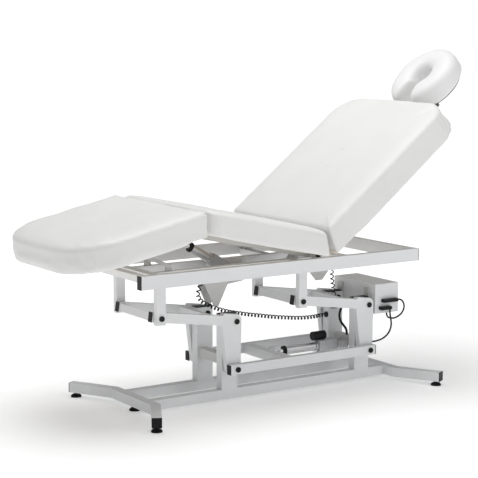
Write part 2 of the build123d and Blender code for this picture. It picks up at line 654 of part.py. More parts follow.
def actuator(name, pin, eye, y, gear, tube_from, collar_at, rod_from, lug_out, eye_out):
    """Electric actuator from its rear pin to its rod's eye, as a housing, an outer tube and a rod.

    gear is the housing's (start, width, height); the other stations are distances from the rear pin.
    """
    rear, front = Vector(*at(pin, y)), Vector(*at(eye, y))
    along = (front - rear).normalized()
    length = (front - rear).length

    def station(distance, lift=0.0):
        up = along.cross(Vector(0, 1, 0)).normalized()
        up = up if up.Z > 0 else -up
        return Plane(origin=rear + along * distance + up * lift, x_dir=(0, 1, 0), z_dir=along)

    with BuildPart() as housing:
        rod(Plane(origin=rear - Vector(0, lug_out[0], 0), x_dir=along, z_dir=(0, 1, 0)), eye_r, 2 * lug_out[0])
        rod(Plane(origin=rear - Vector(0, lug_out[1], 0), x_dir=along, z_dir=(0, 1, 0)), pin_r, 2 * lug_out[1])
        bar(station(0), 22, 18, gear[0] + 2)
        bar(station(gear[0]), gear[1], gear[2], tube_from - gear[0])
        fillet(housing.edges().filter_by(lambda e: abs(e.tangent_at(0).dot(along)) > 0.99
                                         and abs(e.length - (tube_from - gear[0])) < 0.1), 6)
    save(housing, f"{name}_actuator_housing")

    with BuildPart() as outer:
        for start, stop, radius in ((tube_from, tube_from + 8, 23), (tube_from + 8, collar_at, outer_r)):
            rod(station(start), radius, stop - start)
        rod(station(tube_from - 1), shaft_r + fit, collar_at - tube_from + 10, mode=Mode.SUBTRACT)
    save(outer, f"{name}_actuator_tube")

    with BuildPart() as shaft:
        rod(station(rod_from), shaft_r, length - 8 - rod_from)
        rod(Plane(origin=front - Vector(0, eye_out[0], 0), x_dir=along, z_dir=(0, 1, 0)), eye_r, 2 * eye_out[0])
        rod(Plane(origin=front - Vector(0, eye_out[1], 0), x_dir=along, z_dir=(0, 1, 0)), pin_r, 2 * eye_out[1])
    save(shaft, f"{name}_actuator_rod")
    return station


lift_station = actuator("lift", lift_pin, rod_end, 0.0, (16, 56, 52), 105, 262, 130, (20, 30), (11, 21))
seat_rod_eye = seat_plane.from_local_coords(Vector(rod_lug[0], 0, rod_lug[1]))
leg_station = actuator("leg", leg_pin, (seat_rod_eye.X - mid, seat_rod_eye.Z), leg_actuator_y,
                       (16, 46, 52), 137, 237, 190, (24, 33), (11, 21))
back_rod_eye = back_plane.from_local_coords(Vector(lever_tip[0], 0, lever_tip[1]))
actuator("back", back_pin, (back_rod_eye.X - mid, back_rod_eye.Z), back_actuator_y,
         (16, 46, 40), 100, 250, 180, (24, 33), (11, 21))

motor_lift = 44.3                  # the lift actuator's motor lies above its gearbox
for name, station, start in (("lift", lift_station, 262), ("leg", leg_station, 237)):
    with BuildPart() as collar:
        rod(station(start), collar_r, collar_long)
        rod(station(start - 1), shaft_r + fit, collar_long + 2, mode=Mode.SUBTRACT)
        if name == "lift":
            rod(lift_station(64, motor_lift), 18, 60)
    save(collar, "lift_motor_and_collar" if name == "lift" else "leg_actuator_collar")

# ---------------------------------------------------------------- control box
sheet = 2.0
box_mid_x, box_long = (box_x[0] + box_x[1]) / 2, box_x[1] - box_x[0]
box_high = box_z[1] - box_z[0]
with BuildPart() as control_box:
    bar(Plane(origin=at((box_mid_x, box_z[0]))), box_long, 2 * box_y, box_high - sheet)
    bar(Plane(origin=at((box_mid_x, box_z[0] + sheet))), box_long - 2 * sheet, 2 * box_y - 2 * sheet, box_high,
        mode=Mode.SUBTRACT)
save(control_box, "control_box")

with BuildPart() as box_lid:
    bar(Plane(origin=at((box_mid_x, box_z[1] - sheet))), box_long, 2 * box_y, sheet)
    bar(Plane(origin=at((box_mid_x, box_z[1] - sheet))), box_long - 2 * sheet - 1, 2 * box_y - 2 * sheet - 1, -10)
    bar(Plane(origin=at((box_mid_x, box_z[1] - sheet))), box_long - 4 * sheet - 1, 2 * box_y - 4 * sheet - 1, -10,
        mode=Mode.SUBTRACT)
save(box_lid, "control_box_lid")

with BuildPart() as control_board:
    bar(Plane(origin=at((box_mid_x, box_z[0] + 14))), 90, 200, 2)
    for x, y, high in ((-20, -60, 40), (15, -10, 26), (-10, 50, 55)):
        bar(Plane(origin=at((box_mid_x + x, box_z[0] + 16), y)), 36, 40, high)
    for y in (-90, 90):
        bar(Plane(origin=at((box_mid_x, box_z[0] + sheet), y)), 80, 10, 12)
save(control_board, "control_board")

plug_a, plug_b = (550.0, 338.0), (527.0, 308.0)
plug_deep = 18.0
with BuildPart() as box_plugs:
    for spot, long, high in ((plug_a, 76, 14), (plug_b, 56, 14)):
        with BuildSketch(Plane(origin=at(spot, -box_y), x_dir=(1, 0, 0), z_dir=(0, -1, 0))) as face:
            RectangleRounded(long, high, 4)
        extrude(face.sketch, amount=plug_deep)
    with BuildSketch(Plane(origin=at((box_x[1], 340.0), 60), x_dir=(0, 1, 0), z_dir=(1, 0, 0))) as inlet:
        RectangleRounded(48, 28, 4)
        RectangleRounded(26, 18, 3, mode=Mode.SUBTRACT)
    extrude(inlet.sketch, amount=8)
save(box_plugs, "box_plugs_and_inlet")


# ---------------------------------------------------------------- cords
def cord(name, points, radius):
    """Straight runs joined by arcs, each arc as large as its two runs allow."""
    spots = [Vector(x + mid, y, z) for x, y, z in points]
    radii = []
    for before, corner, after in zip(spots, spots[1:], spots[2:]):
        run_in, run_out = corner - before, after - corner
        half_turn = radians(run_in.get_angle(run_out)) / 2
        radii.append(0.45 * min(run_in.length, run_out.length) / tan(half_turn))
    with BuildPart() as cable:
        with BuildLine() as path:
            FilletPolyline(*spots, radius=radii)
        with BuildSketch(Plane(origin=spots[0], z_dir=(spots[1] - spots[0]).normalized())):
            Circle(radius)
        sweep(path=path.line)
    length = sum(edge.length for edge in path.edges())
    print(name, "length", round(length), "radii", [round(r) for r in radii],
          "volume ratio", round(cable.part.volume / (length * pi * radius ** 2), 3))
    save(cable, name)


cord("leg_curly_cord", [(*leg_cord_top, cross_low - gland_high), (-322, -80, 486), (-329, -77, 462), (-334, -72, 438),
                        (-318, -65, 411), (-286, -57, 392), (-240, -47, 371), (-188, -36, 352), (-126, -23, 336),
                        (-60, -9, 320), (10, 6, 306), (84, 20, 290), (150, 31, 279), (216, 43, 268),
                        (282, 55, 261), (336, 68, 259), (372, *post_gland), (post_face - gland_high, *post_gland)],
     cord_r)
cord("back_curly_cord", [(bay_face + gland_high, *bay_gland), (376, *bay_gland), (392, 39, 506), (393, 42, 474),
                         (395, 45, 440), (400, 49, 406), (409, 54, 374), (421, 60, 344),
                         (*side_gland, 328), (*side_gland, side_gland_top)], cord_r)
cord("sleeve_lead", [(box_x[0], 10, 326), (462, 10, 326), (440, 12, 315), (421, 15, 292), (413, 16, 263),
                     (420, 15, 236), (437, 12, 216), (449, 9, 198), (449, 9, tie_top)], lead_r)
cord("box_lead", [(588, -148, 338), (604, -148, 338), (619, -150, 326), (624, -152, 305), (617, -151, 284),
                  (600, -148, 268), (577, -142, 258), (555, -132, 262), (549, -128, 274),
                  (549, -128, box_z[0])], thin_r)
cord("motor_lead", [(549, -150, 301), (549, -150, 282), (556, -150, 256), (560, -147, 228), (553, -141, 200),
                    (536, -127, 176), (514, -103, 162), (498, -76, 157), (486, -52, 158),
                    (tie_back, -52, 158)], thin_r)

# ---------------------------------------------------------------- face cradle
cradle_tilt = 5.2                  # the cradle stands this much steeper than the backrest
cradle_mid = (146.3, 62.8)         # middle of the ring, along and above the cradle's own pivot
cradle_out = (159.0, 155.0)        # outer and inner half sizes, along and across
cradle_in = (46.0, 43.0)
cradle_mouth = 60.0
cradle_high = 95.0
cradle_skirt = 18.0
cradle_plate_z = (9.5, 17.0)
tilt_s = 838.0                     # tilt pivot of the cradle, from the hip along the backrest
tilt_bar_y = (98.0, 126.0)

tilt_spot = back_plane.from_local_coords(Vector(tilt_s, 0, socket_z))
cradle_plane = tilted((tilt_spot.X - mid, tilt_spot.Z), back_angle + cradle_tilt)

with BuildPart() as cradle_rods:
    rod_start = socket_x[0] + 20
    for y in (-socket_y, socket_y):
        start = back_plane.from_local_coords(Vector(rod_start, y, socket_z))
        rod(Plane(origin=start, x_dir=back_plane.y_dir, z_dir=back_plane.x_dir), cradle_rod_r, tilt_s - rod_start)
    barrel(back_plane, tilt_s, socket_z, -tilt_bar_y[1], tilt_bar_y[1], knee_r)
save(cradle_rods, "cradle_rods")


def cradle_ring(low, high, inset=0.0, mode=Mode.ADD):
    """U-shaped ring in the cradle's plane, open towards the backrest."""
    with BuildSketch(cradle_plane.offset(low)) as ring:
        with Locations((cradle_mid[0], 0)):
            Ellipse(cradle_out[0] - inset, cradle_out[1] - inset)
            Ellipse(cradle_in[0] + inset, cradle_in[1] + inset, mode=Mode.SUBTRACT)
        with Locations((cradle_mid[0] - cradle_out[0], 0)):
            Rectangle(2 * cradle_out[0], cradle_mouth + 2 * inset, mode=Mode.SUBTRACT)
    extrude(ring.sketch, amount=high - low, mode=mode)


with BuildPart() as cradle_plate:
    cradle_ring(*cradle_plate_z, cradle_skirt + 0.5)
    for sy in (-1, 1):
        y_from, y_to = sorted((sy * (tilt_bar_y[0] + 1), sy * (tilt_bar_y[1] - 2)))
        barrel(cradle_plane, 0, 0, y_from, y_to, 12)
        start = cradle_plane.from_local_coords(Vector(30, y_from, 12))
        bar(Plane(origin=start, x_dir=cradle_plane.x_dir, z_dir=cradle_plane.y_dir), 60, 10, y_to - y_from)
    bore(on_section(cradle_plane, 0, 0), knee_r + fit)
save(cradle_plate, "cradle_plate")

with BuildPart() as cradle_cushion:
    cradle_low = cradle_mid[1] - cradle_high / 2
    cradle_ring(cradle_low, cradle_low + cradle_high)
    cradle_ring(cradle_low - 1, cradle_plate_z[1] + 0.5, cradle_skirt, Mode.SUBTRACT)
    clear = cradle_plane.from_local_coords(Vector(20, 0, cradle_plate_z[1] + 0.5))
    bar(Plane(origin=clear, x_dir=cradle_plane.x_dir, z_dir=-cradle_plane.z_dir), 100, 400, 60,
        mode=Mode.SUBTRACT)
save(cradle_cushion, "cradle_cushion")
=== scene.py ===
"""Looks of the powered facial treatment bed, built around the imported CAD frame. Metres, +Z up."""
import bisect
import json
from math import asin, cos, pi, radians, sin, sqrt, tan

import bpy
import bmesh
from mathutils import Matrix, Vector, noise
from mathutils.bvhtree import BVHTree


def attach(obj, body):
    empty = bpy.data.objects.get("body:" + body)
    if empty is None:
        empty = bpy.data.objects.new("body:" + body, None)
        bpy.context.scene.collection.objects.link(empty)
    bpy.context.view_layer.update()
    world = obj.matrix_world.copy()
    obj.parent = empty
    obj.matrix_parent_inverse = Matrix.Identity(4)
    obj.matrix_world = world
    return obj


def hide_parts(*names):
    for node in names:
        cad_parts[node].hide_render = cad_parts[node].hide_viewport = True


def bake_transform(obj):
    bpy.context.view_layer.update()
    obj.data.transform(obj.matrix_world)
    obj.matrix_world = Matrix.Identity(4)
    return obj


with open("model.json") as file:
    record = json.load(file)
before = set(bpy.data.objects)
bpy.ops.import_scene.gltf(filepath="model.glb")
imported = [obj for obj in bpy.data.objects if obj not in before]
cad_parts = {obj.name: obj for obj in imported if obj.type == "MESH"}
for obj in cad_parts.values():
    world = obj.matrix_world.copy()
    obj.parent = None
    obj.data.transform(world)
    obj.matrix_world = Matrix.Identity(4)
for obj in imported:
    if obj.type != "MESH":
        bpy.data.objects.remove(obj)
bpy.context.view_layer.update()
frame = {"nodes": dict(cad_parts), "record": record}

joints = {joint["name"]: joint for joint in frame["record"]["behaviour"]["joints"]}
hip = Vector(joints["backrest_recline"]["pos_m"])
knee = Vector(joints["knee"]["pos_m"])
cradle_pivot = Vector(joints["cradle_tilt"]["pos_m"])
middle = hip.x - 0.116                 # middle of the floor frame

seat_angle, back_angle, leg_angle = -12.6, 38.1, 11.7      # slopes of the sections, degrees
cradle_angle = back_angle + 5.2
pad_half = 0.348                       # half width of the pads


# ---------------------------------------------------------------- camera, light and floor
camera_place = (middle - 3.36165, -4.97953, 1.46715)
camera_lens, camera_sensor = 114.96, 36.0        # mm
camera_down, camera_turn = 8.05, -33.26          # degrees


def camera():
    made = bpy.data.objects.new("camera", bpy.data.cameras.new("camera"))
    made.data.lens = camera_lens
    made.data.sensor_width = camera_sensor
    made.location = camera_place
    made.rotation_euler = (radians(90 - camera_down), 0, radians(camera_turn))
    bpy.context.collection.objects.link(made)
    bpy.context.scene.camera = made


def area_light(name, place, target, size, watts):
    made = bpy.data.objects.new(name, bpy.data.lights.new(name, "AREA"))
    made.data.shape = "DISK"
    made.data.size = size
    made.data.energy = watts
    made.location = place
    made.rotation_euler = (Vector(target) - Vector(place)).to_track_quat("-Z", "Y").to_euler()
    bpy.context.collection.objects.link(made)


def studio():
    world = bpy.data.worlds.new("studio")
    world.use_nodes = True
    nodes, links = world.node_tree.nodes, world.node_tree.links
    light = nodes["Background"]
    light.inputs["Color"].default_value = (0.985, 0.99, 1.0, 1)
    light.inputs["Strength"].default_value = 0.29
    backdrop = nodes.new("ShaderNodeBackground")
    backdrop.inputs["Color"].default_value = (1, 1, 1, 1)
    backdrop.inputs["Strength"].default_value = 1.0
    seen = nodes.new("ShaderNodeLightPath")
    mix = nodes.new("ShaderNodeMixShader")
    links.new(seen.outputs["Is Camera Ray"], mix.inputs["Fac"])
    links.new(light.outputs["Background"], mix.inputs[1])
    links.new(backdrop.outputs["Background"], mix.inputs[2])
    links.new(mix.outputs["Shader"], nodes["World Output"].inputs["Surface"])
    bpy.context.scene.world = world
    bpy.context.scene.view_settings.view_transform = "Standard"
    area_light("key", (2.2, -4.6, 2.8), (0, 0, 0.5), 3.0, 40)
    area_light("overhead", (-0.3, 0.2, 4.2), (0, 0, 0.5), 3.5, 112)


def floor():
    mesh = bpy.data.meshes.new("floor")
    reach = 30.0
    mesh.from_pydata([(-reach, -reach, 0), (reach, -reach, 0), (reach, reach, 0), (-reach, reach, 0)],
                     [], [(0, 1, 2, 3)])
    made = bpy.data.objects.new("floor", mesh)
    bpy.context.collection.objects.link(made)
    paint = Paint("floor", (0.96, 0.96, 0.96), 0.8)
    paint.mottle(6.0, 0.01)
    # The floor glows, which is painted light. The glow is weakest within 0.8 m of the origin, where the bed
    # stands, and strongest from 4 m out. This lets the floor fade into the white backdrop and lights the bed
    # from below.
    paint.shader.inputs["Emission Color"].default_value = (1, 1, 1, 1)
    distance = paint.nodes.new("ShaderNodeVectorMath")
    distance.operation = "LENGTH"
    paint.links.new(paint.place, distance.inputs[0])
    glow = paint.nodes.new("ShaderNodeMapRange")
    glow.interpolation_type = "SMOOTHSTEP"
    for socket, value in (("From Min", 0.8), ("From Max", 4.0), ("To Min", 0.24), ("To Max", 0.85)):
        glow.inputs[socket].default_value = value
    paint.links.new(distance.outputs["Value"], glow.inputs["Value"])
    paint.links.new(glow.outputs["Result"], paint.shader.inputs["Emission Strength"])
    mesh.materials.append(paint.material)


# ---------------------------------------------------------------- materials
class Paint:
    """A Principled material with a few procedural layers, mapped in metres."""

    def __init__(self, name, colour, roughness, metallic=0.0, **sockets):
        self.material = bpy.data.materials.new(name)
        self.material.use_nodes = True
        self.nodes = self.material.node_tree.nodes
        self.links = self.material.node_tree.links
        self.shader = self.nodes["Principled BSDF"]
        self.colour = colour
        self.shader.inputs["Base Color"].default_value = (*colour, 1)
        self.shader.inputs["Roughness"].default_value = roughness
        self.shader.inputs["Metallic"].default_value = metallic
        for socket, value in sockets.items():
            self.shader.inputs[socket.replace("_", " ")].default_value = value
        self.place = self.nodes.new("ShaderNodeTexCoord").outputs["Object"]
        self.bump = None

    def noise(self, scale, detail=3.0, stretch=(1, 1, 1), distortion=0.0):
        mapping = self.nodes.new("ShaderNodeMapping")
        mapping.inputs["Scale"].default_value = stretch
        self.links.new(self.place, mapping.inputs["Vector"])
        texture = self.nodes.new("ShaderNodeTexNoise")
        texture.inputs["Scale"].default_value = scale
        texture.inputs["Detail"].default_value = detail
        texture.inputs["Distortion"].default_value = distortion
        self.links.new(mapping.outputs["Vector"], texture.inputs["Vector"])
        return texture.outputs["Fac"]

    def cells(self, scale, feature="F1"):
        texture = self.nodes.new("ShaderNodeTexVoronoi")
        texture.feature = feature
        texture.inputs["Scale"].default_value = scale
        self.links.new(self.place, texture.inputs["Vector"])
        return texture.outputs["Distance"]

    def ranged(self, value, low, high):
        ramp = self.nodes.new("ShaderNodeMapRange")
        ramp.inputs["From Min"].default_value = 0.3
        ramp.inputs["From Max"].default_value = 0.7
        ramp.inputs["To Min"].default_value = low
        ramp.inputs["To Max"].default_value = high
        self.links.new(value, ramp.inputs["Value"])
        return ramp.outputs["Result"]

    def tint(self, value, dark, light):
        mix = self.nodes.new("ShaderNodeMix")
        mix.data_type = "RGBA"
        mix.inputs["A"].default_value = (*dark, 1)
        mix.inputs["B"].default_value = (*light, 1)
        self.links.new(self.ranged(value, 0, 1), mix.inputs["Factor"])
        self.links.new(mix.outputs["Result"], self.shader.inputs["Base Color"])

    def mottle(self, scale, amount, **kind):
        """Slow variation of the base colour by the given share."""
        dark = [c * (1 - amount) for c in self.colour]
        light = [min(1, c * (1 + amount)) for c in self.colour]
        self.tint(self.noise(scale, **kind), dark, light)

    def gloss(self, scale, low, high, **kind):
        roughness = self.ranged(self.noise(scale, **kind), low, high)
        self.links.new(roughness, self.shader.inputs["Roughness"])

    def relief(self, value, depth, strength=1.0):
        """Bump of the given depth in metres, added on top of the layers before it."""
        bump = self.nodes.new("ShaderNodeBump")
        bump.inputs["Distance"].default_value = depth
        bump.inputs["Strength"].default_value = strength
        self.links.new(value, bump.inputs["Height"])
        if self.bump:
            self.links.new(self.bump, bump.inputs["Normal"])
        self.bump = bump.outputs["Normal"]
        self.links.new(self.bump, self.shader.inputs["Normal"])


def powder_coat(name, colour):
    paint = Paint(name, colour, 0.38, Coat_Weight=0.15, Coat_Roughness=0.25)
    paint.mottle(5.0, 0.025)
    paint.gloss(40.0, 0.33, 0.45)
    paint.relief(paint.noise(700.0, detail=2), 0.00006, 0.35)
    return paint.material


def vinyl(name, colour):
    paint = Paint(name, colour, 0.5, Sheen_Weight=0.05, Sheen_Roughness=0.5, Coat_Weight=0.06,
                  Coat_Roughness=0.35)
    paint.mottle(7.0, 0.015)
    paint.gloss(25.0, 0.46, 0.58)
    paint.relief(paint.noise(9.0, detail=4), 0.0016, 0.35)
    paint.relief(paint.cells(620.0, "SMOOTH_F1"), 0.00016, 0.4)
    paint.relief(paint.noise(1500.0, detail=2), 0.00005, 0.3)
    return paint.material


def moulded(name, colour, roughness=0.5, specular=0.5):
    paint = Paint(name, colour, roughness, Specular_IOR_Level=specular)
    paint.mottle(30.0, 0.06)
    paint.gloss(60.0, roughness - 0.07, roughness + 0.08)
    paint.relief(paint.noise(1800.0, detail=1), 0.00005, 0.5)
    return paint.material


def metal(name, colour, low, high, stretch=(1, 1, 1), scale=300.0):
    paint = Paint(name, colour, low, metallic=1.0)
    paint.mottle(12.0, 0.06)
    paint.gloss(scale, low, high, stretch=stretch)
    paint.relief(paint.noise(scale * 3, stretch=stretch, detail=2), 0.00002, 0.3)
    return paint.material


def plywood(name):
    paint = Paint(name, (0.70, 0.63, 0.53), 0.62)
    grain = paint.noise(16.0, detail=6, stretch=(1, 9, 9), distortion=1.2)
    paint.tint(grain, (0.62, 0.54, 0.43), (0.77, 0.71, 0.61))
    paint.relief(paint.noise(120.0, detail=4, stretch=(1, 12, 12)), 0.0002, 0.5)
    return paint.material


def rubber(name, colour, roughness):
    paint = Paint(name, colour, roughness, Specular_IOR_Level=0.2)
    paint.mottle(50.0, 0.15)
    paint.gloss(90.0, roughness - 0.08, roughness + 0.08)
    paint.relief(paint.noise(900.0, detail=2), 0.00008, 0.4)
    return paint.material


def make_materials():
    return {
        "frame_paint": powder_coat("frame_paint", (0.80, 0.81, 0.82)),
        "box_paint": powder_coat("box_paint", (0.79, 0.80, 0.81)),
        # The brackets carry the frame's light grey paint. Their darker grey here is painted shade, standing
        # in for the shade they sit in under the frame.
        "bracket_paint": powder_coat("bracket_paint", (0.60, 0.60, 0.59)),
        "dark_steel": powder_coat("dark_steel", (0.10, 0.10, 0.10)),
        "black_steel": moulded("black_steel", (0.006, 0.006, 0.006), 0.40, 0.2),
        "black_plastic": moulded("black_plastic", (0.006, 0.006, 0.007), 0.42, 0.2),
        "actuator_plastic": moulded("actuator_plastic", (0.50, 0.51, 0.53), 0.42),
        "zinc_steel": metal("zinc_steel", (0.62, 0.63, 0.64), 0.28, 0.42),
        "actuator_tube": metal("actuator_tube", (0.66, 0.66, 0.67), 0.30, 0.42),
        "bright_rod": metal("bright_rod", (0.82, 0.82, 0.83), 0.10, 0.18),
        "foot_rubber": rubber("foot_rubber", (0.008, 0.008, 0.008), 0.65),
        "black_cord": rubber("black_cord", (0.006, 0.006, 0.006), 0.45),
        "birch_board": plywood("birch_board"),
        "vinyl": vinyl("vinyl", (0.80, 0.797, 0.785)),
        "cradle_vinyl": vinyl("cradle_vinyl", (0.80, 0.80, 0.795)),
        "circuit_board": moulded("circuit_board", (0.02, 0.11, 0.05), 0.45),
    }


materials = make_materials()


def dress_nodes():
    """Gives each CAD node its slot's material."""
    for part in frame["record"]["subparts"]:
        node = frame["nodes"][part["node"]]
        node.data.materials.clear()
        node.data.materials.append(materials[part["material_slot"]])


def keep(name, mesh, slot, smooth=True):
    """A new piece with its slot's material."""
    made = bpy.data.objects.new(name, mesh)
    bpy.context.collection.objects.link(made)
    mesh.materials.clear()
    mesh.materials.append(materials[slot])
    if smooth:
        mesh.polygons.foreach_set("use_smooth", [True] * len(mesh.polygons))
    return made


# ---------------------------------------------------------------- lines and tubes
def spline(name, points):
    """A NURBS curve with these control points, in metres."""
    curve = bpy.data.curves.new(name, "CURVE")
    curve.dimensions = "3D"
    curve.resolution_u = 16
    line = curve.splines.new("NURBS")
    line.points.add(len(points) - 1)
    for spot, point in zip(line.points, points):
        spot.co = (*point, 1)
    line.order_u = 3
    line.use_endpoint_u = True
    return curve


def traced(curve):
    """The points along a curve that has no bevel."""
    holder = bpy.data.objects.new("trace", curve)
    mesh = bpy.data.meshes.new_from_object(holder)
    points = [vertex.co.copy() for vertex in mesh.vertices]
    bpy.data.objects.remove(holder)
    bpy.data.meshes.remove(mesh)
    return points


def run_length(points):
    return sum((b - a).length for a, b in zip(points, points[1:]))


def frames_along(points, closed=False):
    """A direction and two square-on directions at each point, turning as little as they can."""
    count = len(points)
    ways = []
    for i, point in enumerate(points):
        before = points[i - 1] if i or closed else point
        after = points[(i + 1) % count] if i < count - 1 or closed else point
        ways.append((after - before).normalized())
    across = ways[0].orthogonal().normalized()
    made = []
    for i, way in enumerate(ways):
        if i:
            across = ways[i - 1].rotation_difference(way) @ across
        across = (across - way * across.dot(way)).normalized()
        made.append((way, across, way.cross(across)))
    return made


def tube_mesh(name, points, radius, sides=8, closed=False):
    """A round tube that follows the points, with its ends closed unless it is a loop."""
    rings = []
    build = bmesh.new()
    for point, (way, across, up) in zip(points, frames_along(points, closed)):
        turns = [2 * pi * k / sides for k in range(sides)]
        ring = [build.verts.new(point + (across * cos(turn) + up * sin(turn)) * radius) for turn in turns]
        rings.append(ring)
    pairs = list(zip(rings, rings[1:]))
    if closed:
        pairs.append((rings[-1], rings[0]))
    for low, high in pairs:
        for k in range(sides):
            build.faces.new((low[k], low[(k + 1) % sides], high[(k + 1) % sides], high[k]))
    if not closed:
        build.faces.new(reversed(rings[0]))
        build.faces.new(rings[-1])
    bmesh.ops.recalc_face_normals(build, faces=build.faces)
    mesh = bpy.data.meshes.new(name)
    build.to_mesh(mesh)
    build.free()
    return mesh


# ---------------------------------------------------------------- cords
def millimetres(route):
    """A route of part.py, in metres, from the middle of the floor frame."""
    return [Vector((x / 1000 + middle, y / 1000, z / 1000)) for x, y, z in route]


post_gland = (84, 258)
leg_route = millimetres([
    (-322, -80, 509), (-322, -80, 486), (-329, -77, 462), (-334, -72, 438), (-318, -65, 411),
    (-286, -57, 392), (-240, -47, 371), (-188, -36, 352), (-126, -23, 336), (-60, -9, 320),
    (10, 6, 306), (84, 20, 290), (150, 31, 279), (216, 43, 268), (282, 55, 261),
    (336, 68, 259), (372, *post_gland), (393, *post_gland)])
back_route = millimetres([
    (355, 38, 528), (376, 38, 528), (392, 39, 506), (393, 42, 474), (395, 45, 440),
    (400, 49, 406), (409, 54, 374), (421, 60, 344), (420, 61, 328), (420, 61, 310)])
sleeve_route = millimetres([
    (480, 10, 326), (462, 10, 326), (440, 12, 315), (421, 15, 292), (413, 16, 263),
    (420, 15, 236), (437, 12, 216), (449, 9, 198), (449, 9, 179)])
box_route = millimetres([
    (588, -148, 338), (604, -148, 338), (619, -150, 326), (624, -152, 305), (617, -151, 284),
    (600, -148, 268), (577, -142, 258), (555, -132, 262), (549, -128, 274), (549, -128, 286)])
motor_route = millimetres([
    (549, -150, 301), (549, -150, 282), (556, -150, 256), (560, -147, 228), (553, -141, 200),
    (536, -127, 176), (514, -103, 162), (498, -76, 157), (486, -52, 158), (468, -52, 158)])


def plain_lead(name, route, radius):
    curve = spline(name, route)
    length = run_length(traced(curve))
    curve.bevel_depth = radius
    curve.bevel_resolution = 3
    curve.materials.append(materials["black_cord"])
    made = bpy.data.objects.new(name + "_line", curve)
    bpy.context.collection.objects.link(made)
    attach(made, "base")
    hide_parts(name)


coil_r, wire_r = 0.0066, 0.0024        # curly cords: middle of the wire, and the wire
coil_pitch = 0.0190
coil_ends = 0.016                      # the first and last turns open out from the gland over this length
turn_points = 12


def helix_along(line):
    """Turns of a curly cord around a line. It leaves and enters its glands on the line itself."""
    whole = run_length(line)
    turns = round((whole - coil_ends) / coil_pitch)
    stations = [0.0]
    for a, b in zip(line, line[1:]):
        stations.append(stations[-1] + (b - a).length)
    square = frames_along(line)
    made = []
    count = turns * turn_points
    for k in range(count + 1):
        along = whole * k / count
        i = min(max(bisect.bisect_right(stations, along) - 1, 0), len(line) - 2)
        share = (along - stations[i]) / (stations[i + 1] - stations[i])
        spot = line[i].lerp(line[i + 1], share)
        across = square[i][1].lerp(square[i + 1][1], share).normalized()
        up = square[i][2].lerp(square[i + 1][2], share).normalized()
        opening = min(1.0, along / coil_ends, (whole - along) / coil_ends)
        reach = coil_r * opening * opening * (3 - 2 * opening)
        turn = 2 * pi * k / turn_points
        made.append(spot + (across * cos(turn) + up * sin(turn)) * reach)
    return made


def curly_cord(name, route, split):
    """A curly cord between the base and the upper frame, as two stretches that meet at the split point.

    The two stretches share the helix point nearest the split; neither is attached to a moving part.
    """
    points = helix_along(traced(spline(name, route)))
    nearest = min(range(len(points)), key=lambda i: (points[i] - split).length)
    stretches = (("upper", points[:nearest + 1], "rear_crank", "upper_frame", points[nearest], points[0]),
                 ("lower", points[nearest:], "base", "rear_crank", points[-1], points[nearest]))
    for part, path, body_a, body_b, start, end in stretches:
        made = keep(f"{name}_{part}", tube_mesh(f"{name}_{part}", path, wire_r), "black_cord")
        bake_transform(made)
        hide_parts(name)


camera()
curly_cord("leg_curly_cord", leg_route, Vector((middle + 0.176, 0.036, 0.274)))
curly_cord("back_curly_cord", back_route, Vector((middle + 0.395, 0.045, 0.440)))
plain_lead("sleeve_lead", sleeve_route, 0.005)
plain_lead("box_lead", box_route, 0.0035)
plain_lead("motor_lead", motor_route, 0.0035)
dress_nodes()


# ---------------------------------------------------------------- pads
cover_steps, seam_steps = (30, 24), (60, 24)     # steps along each side and round each corner
seam_r = 0.0011


def section_matrix(origin, angle):
    """From a tilted section (along, across, out of the pad) to the world."""
    a = radians(angle)
    axes = Matrix(((cos(a), 0, -sin(a)), (0, 1, 0), (sin(a), 0, cos(a)))).to_4x4()
    return Matrix.Translation(origin) @ axes


def smooth_step(value, low, high):
    t = min(1.0, max(0.0, (value - low) / (high - low)))
    return t * t * (3 - 2 * t)


def pad_outline(x_foot, x_head, half, radii, inset, side_steps, corner_steps):
    """Points (x, y) round a rectangle with rounded corners, drawn in by the inset."""
    x_foot, x_head, half = x_foot + inset, x_head - inset, half - inset
    foot_r, head_r = (max(r - inset, 0.004) for r in radii)
    corners = ((x_head - head_r, half - head_r, head_r, 0),
               (x_foot + foot_r, half - foot_r, foot_r, 90),
               (x_foot + foot_r, -half + foot_r, foot_r, 180),
               (x_head - head_r, -half + head_r, head_r, 270))
    points = []
    for k, (x, y, r, turn) in enumerate(corners):
        for step in range(corner_steps + 1):
            a = radians(turn + 90 * step / corner_steps)
            points.append((x + r * cos(a), y + r * sin(a)))
        nx, ny, nr, n_turn = corners[(k + 1) % 4]
        end = radians(turn + 90)
        start = (x + r * cos(end), y + r * sin(end))
        stop = (nx + nr * cos(radians(n_turn)), ny + nr * sin(radians(n_turn)))
        for step in range(1, side_steps):
            share = step / side_steps
            points.append((start[0] + (stop[0] - start[0]) * share,
                           start[1] + (stop[1] - start[1]) * share))
    return points


def pad_profile(low, top, edge, drop, reach, crown):
    """Rings of a pad as (inset, height), from inside the board, up the side and over the top."""
    under = [(0.042, low + 0.006), (0.042, low - 0.0015), (0.030, low - 0.002 - 0.4 * drop),
             (0.014, low - 0.002 - drop), (0.006, low - drop), (0.002, low + 0.004 - drop)]
    side = []
    bottom, shoulder = low + 0.012 - drop, top - edge
    for step in range(5):
        share = step / 5
        side.append((-0.0012 * sin(pi * share), bottom + (shoulder - bottom) * share))
    rounded = []
    for step in range(9):
        a = radians(90 * step / 8)
        rounded.append((edge * (1 - cos(a)), shoulder + edge * sin(a)))
    flat = []
    count = 12
    for step in range(1, count + 1):
        share = step / count
        flat.append((edge + (reach - edge) * share, top + crown * sin(share * pi / 2) ** 0.8))
    return under + side + rounded + flat


